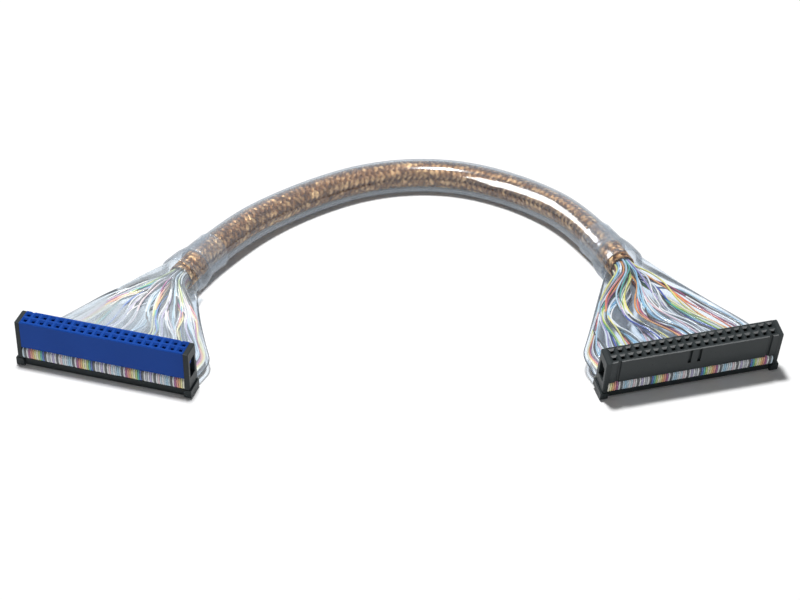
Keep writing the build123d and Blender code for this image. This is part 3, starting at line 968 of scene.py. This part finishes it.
class CABLE_OT_fan_wires(bpy.types.Operator):
    """Fold 80 wires round the front of each clamp and fan them into the trunk"""

    bl_idname = "cable.fan_wires"
    bl_label = "Fanned wires"

    def execute(self, context):
        settings = context.scene.cable_fan
        trunk = Trunk()
        coat = insulation("insulation")
        for side in SIDES:
            fan = Fan(side, trunk)
            lines = np.array([self.wire(fan, index, settings) for index in range(WIRES)])
            order = range(WIRES) if side == "right" else range(WIRES - 1, -1, -1)
            colours = np.array([WIRE_COLOURS[index % len(WIRE_COLOURS)] for index in order])
            # round the fold the colours are paled as a painted highlight; each fan has its own
            # power
            folded = np.arange(lines.shape[1]) < FOLD_STEPS
            fade = np.where(folded, FOLD_PAINTED_HIGHLIGHT, FAN_FADE[side])
            colours = colours[:, None] ** fade[None, :, None]
            piece = rods(f"{side}_wires", lines, settings.wire_diameter / 2, WIRE_FACETS, coat,
                         colours)
            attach(piece, "root")
            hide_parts(f"{side}_fan_wires")
        return {"FINISHED"}

    def wire(self, fan, index, settings):
        place = (index - (WIRES - 1) / 2) * WIRE_PITCH
        return np.concatenate([self.fold(fan, place), self.spread(fan, index, place, settings)])

    @staticmethod
    def fold(fan, place):
        """Clamped stretch: along the upper groove, round the front, back along the lower one."""
        bend = np.linspace(0, pi / 2, 7)
        front = FOLD_FRONT + FOLD_RADIUS
        depth = [CLAMP_START]
        height = [UPPER_PASS]
        depth += list(front - FOLD_RADIUS * np.sin(bend))
        height += list(UPPER_PASS - FOLD_RADIUS * (1 - np.cos(bend)))
        depth += list(front - FOLD_RADIUS * np.cos(bend))
        height += list(LOWER_PASS + FOLD_RADIUS * (1 - np.sin(bend)))
        return fan.seat.point(np.full(len(depth), place), np.array(depth), np.array(height))

    @staticmethod
    def spread(fan, index, place, settings):
        """Free stretch: groups of wires sweep inwards, cross over each other and gather."""
        share = np.linspace(0, 1, FREE_STEPS)
        distance = share * (fan.length - 1.0 * MM)
        centre, across, rise, half_width, half_height = fan.at(distance)
        half_row = WIRES / 2 * WIRE_PITCH
        own = place / half_row
        rng = np.random.default_rng(GROUP_SEED[fan.side] + index // GROUP_SIZE)
        phase, rate, lean = rng.uniform(-0.6, 0.6), rng.uniform(0.9, 1.5), rng.uniform(-1, 1)
        single = np.random.default_rng(WIRE_SEED + index)
        # along the socket, as a share of the fan's half width
        window = np.sin(pi * np.clip(share * 1.02, 0, 1)) ** 1.2
        room = 1 - own ** 2
        sway = np.sin(2 * pi * rate * share + phase + 1.2 * own)
        moved = own + window * room * (
            INWARD[fan.side] * SWEEP + settings.wander * (SWAY * sway + LEAN * lean))
        moved += TREMBLE * window * np.sin(2 * pi * (3 * share + single.uniform(0, 1)))
        moved = np.clip(moved, -1, 1)
        spot_x, spot_y = fan.places[index]
        gather = eased((share - GATHER_START) / GATHER_LENGTH)
        reach = half_width - EDGE_MARGIN
        reach[0] = half_row
        reach = np.minimum(reach, half_row)
        flat = moved * reach * (1 - gather) + (
            spot_x + moved * LOOSE_AT_NECK * (1 - gather)) * gather
        # through the fan's thickness, inside its lens-shaped section
        level = spot_y / BUNDLE_RADIUS + RISE_AND_FALL * np.sin(
            2 * pi * (share + single.uniform(0, 1)))
        open_height = np.clip(half_height - FILM_MARGIN, 0, None)
        lens = np.sqrt(np.clip(1 - (flat / half_width) ** 2, 0.02, 1))
        upright = np.clip(level, -1, 1) * open_height * lens * np.clip(share * 4, 0, 1)
        upright = upright * (1 - gather) + spot_y * gather
        limit = FILLED_HEIGHT * half_height * lens
        upright = np.clip(upright, -limit, limit)
        line = centre + across * flat[:, None] + rise * upright[:, None]
        exits = fan.seat.point(place, FAN_START, LOWER_PASS)
        settled = eased(share / SETTLED)[:, None]
        straight = exits + np.multiply.outer(distance, fan.seat.y)
        return straight * (1 - settled) + line * settled


class CABLE_OT_fan_sleeves(bpy.types.Operator):
    """Make the creased film sleeves over the fanned wires"""

    bl_idname = "cable.fan_sleeves"
    bl_label = "Film sleeves"

    def execute(self, context):
        settings = context.scene.cable_fan
        haze = tuple(context.scene.cable_finish.haze)
        trunk = Trunk()
        for side in SIDES:
            fan = Fan(side, trunk)
            cloudy = side == "left"
            film = creased_film(f"{side}_film", MILKY_FILM if cloudy else haze, FILM_SEAM)
            outer = self.surface(fan, settings, 0.0)
            inner = self.surface(fan, settings, settings.film)
            piece = walled_tube(f"{side}_film_sleeve", outer, inner, film,
                                self.marks(outer.shape[:2], cloudy))
            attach(piece, "root")
            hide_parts(f"{side}_fan_sleeve")
        return {"FINISHED"}

    @staticmethod
    def marks(shape, cloudy):
        """How clouded the film is, and where its two folded edges run."""
        rings, around = shape
        across = np.cos(full_turn(around)) * np.ones((rings, 1))
        fold = np.clip((np.abs(across) - FOLDED_EDGE) / FOLDED_BLEND, 0, 1)
        to_neck = np.clip(np.linspace(1, 0, rings) / CLEAR_NECK, 0, 1)[:, None]
        veil = 0.17 - 0.14 * across if cloudy else np.full(shape, 0.015)
        return {"fold": fold * (0.35 + 0.65 * to_neck), "veil": veil * to_neck}

    @staticmethod
    def surface(fan, settings, inset):
        """Rings of a flattened tube, creased along its length, more so near the neck."""
        distance = np.linspace(0, fan.length, SLEEVE_RINGS)
        centre, across, rise, half_width, half_height = fan.at(distance)
        angle = full_turn(SLEEVE_FACETS)
        share = distance / fan.length
        rng = np.random.default_rng(SLEEVE_SEED[fan.side])
        waves = np.zeros((SLEEVE_RINGS, SLEEVE_FACETS))
        for order in CREASES:
            phase = rng.uniform(0, 2 * pi)
            drift = rng.uniform(-2, 2)
            waves += np.sin(order * angle[None] + phase + drift * share[:, None]) / order ** 0.5
        # creases deepen towards the neck and fade out at both ends
        waves *= settings.crease * (0.4 + 0.5 * share[:, None] ** 2)
        tucked = np.clip((1 - share) / 0.06, 0, 1) * np.clip(share / 0.05, 0.3, 1)
        waves = np.minimum(waves * tucked[:, None], CREASE_LIMIT)
        flat = (half_width[:, None] - inset) * np.cos(angle)[None]
        lens = np.sign(np.sin(angle)) * np.abs(np.sin(angle)) ** 0.9
        upright = (half_height[:, None] - inset + waves) * lens[None] * SLEEVE_FLATTENING
        return (centre[:, None] + across[:, None] * flat[..., None]
                + rise[:, None] * upright[..., None])


class CABLE_OT_collars(bpy.types.Operator):
    """Make the clear collars over the ends of the braid"""

    bl_idname = "cable.collars"
    bl_label = "Clear collars"

    def execute(self, context):
        settings = context.scene.cable_fan
        haze = tuple(context.scene.cable_finish.haze)
        clear = clear_plastic(
            "collar_plastic", haze, ripple_scale=200.0, cloud_scale=80.0, ripple_height=0.2)
        trunk = Trunk()
        for side in SIDES:
            outer = self.surface(side, trunk, settings, 0.0)
            inner = self.surface(side, trunk, settings, settings.collar_wall)
            if side == "right":
                outer, inner = outer[::-1], inner[::-1]
            piece = walled_tube(f"{side}_clear_collar", outer, inner, clear)
            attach(piece, "root")
            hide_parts(f"{side}_collar")
            shown_to(STREAKED, piece)
            throws_no_shadow(piece)
        return {"FINISHED"}

    @staticmethod
    def surface(side, trunk, settings, inset):
        """Rings from the mouth inwards: wide over the fan's neck, then gripping the jacket."""
        share = np.linspace(0, 1, COLLAR_RINGS)
        inside = share * settings.collar_length
        distance = inside if side == "left" else trunk.length - inside
        shoulder, shoulder_length = COLLAR_SHOULDER
        ease = eased((inside - shoulder) / shoulder_length)
        radius = COLLAR_NECK * (1 - ease) + COLLAR_GRIP * ease
        from_end = inside - settings.collar_length + COLLAR_LIP_LENGTH
        lip = COLLAR_LIP * np.exp(-(from_end / COLLAR_LIP_LENGTH) ** 2)
        spans, turns = np.meshgrid(distance, full_turn(COLLAR_FACETS), indexing="ij")
        dents = COLLAR_DENTS * np.sin(3 * turns + 9 * share[:, None]) * (1 - ease[:, None] * 0.6)
        rings = (radius + lip)[:, None] + dents - COLLAR_DENTS - inset
        return trunk.ring(spans, turns, rings)


class CABLE_OT_mouldings(bpy.types.Operator):
    """Give the sockets, clamps and strain reliefs their moulded finish"""

    bl_idname = "cable.mouldings"
    bl_label = "Mouldings"

    def execute(self, context):
        finish = context.scene.cable_finish
        blue = moulded("blue_moulding", finish.blue, roughness=0.40, spread=0.16, shine=0.12)
        black = moulded("black_moulding", finish.black, roughness=0.30, spread=0.14, shine=0.24)
        clamp = moulded("black_clamp", finish.black, roughness=0.42, spread=0.18, shine=0.22)
        dress("left_socket_body", blue)
        dress("right_socket_body", black)
        for side in SIDES:
            dress(f"{side}_cover", clamp)
            dress(f"{side}_strain_relief", clamp)
            for piece in ("socket_body", "cover", "strain_relief"):
                shown_to(GLEAMING, frame["nodes"][f"{side}_{piece}"])
        return {"FINISHED"}


class CABLE_OT_contacts(bpy.types.Operator):
    """Give the contacts and ground combs their metal finish"""

    bl_idname = "cable.contacts"
    bl_label = "Contacts and combs"

    def execute(self, context):
        metal = sprung_metal("contact_metal")
        for side in SIDES:
            for piece in ("contacts_front_row", "contacts_rear_row", "ground_comb"):
                dress(f"{side}_{piece}", metal)
        return {"FINISHED"}


def shown_to(lamp, piece):
    """Let a piece mirror one of the linked lamps."""
    bpy.data.collections[lamp].objects.link(piece)


def throws_no_shadow(piece):
    """Let the key lamp's light pass a clear tube, so that its edges draw no lines on the floor."""
    passed = bpy.data.collections[UNSHADED]
    passed.objects.link(piece)
    passed.collection_objects[-1].light_linking.link_state = "EXCLUDE"


def dress(node, material):
    """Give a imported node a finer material."""
    for place in frame["nodes"][node].material_slots:
        place.material = material


class CABLE_PT_panel(bpy.types.Panel):
    """Sizes and steps of the cable"""

    bl_idname = "CABLE_PT_panel"
    bl_label = "Round drive cable"
    bl_space_type = "VIEW_3D"
    bl_region_type = "UI"
    bl_category = "Cable"

    def draw(self, context):
        for group in ("cable_trunk", "cable_fan", "cable_finish", "cable_stage"):
            settings = getattr(context.scene, group)
            box = self.layout.box()
            for name in settings.__annotations__:
                box.prop(settings, name)
        for operator in STEPS:
            self.layout.operator(operator.bl_idname)


GROUPS = {
    "cable_trunk": TrunkSettings,
    "cable_fan": FanSettings,
    "cable_finish": FinishSettings,
    "cable_stage": StageSettings,
}
STEPS = (
    CABLE_OT_stage, CABLE_OT_braid, CABLE_OT_bundle, CABLE_OT_jacket, CABLE_OT_fan_wires,
    CABLE_OT_fan_sleeves, CABLE_OT_collars, CABLE_OT_mouldings, CABLE_OT_contacts,
)


def register():
    for cls in (*GROUPS.values(), *STEPS, CABLE_PT_panel):
        bpy.utils.register_class(cls)
    for name, cls in GROUPS.items():
        setattr(bpy.types.Scene, name, bpy.props.PointerProperty(type=cls))


def unregister():
    for name in GROUPS:
        delattr(bpy.types.Scene, name)
    for cls in (CABLE_PT_panel, *reversed(STEPS), *reversed(GROUPS.values())):
        bpy.utils.unregister_class(cls)


def main():
    register()
    bpy.context.scene.cycles.transparent_max_bounces = CLEAR_CROSSINGS
    for operator in STEPS:
        group, name = operator.bl_idname.split(".")
        getattr(getattr(bpy.ops, group), name)()
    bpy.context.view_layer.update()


if __name__ == "__main__":
    main()
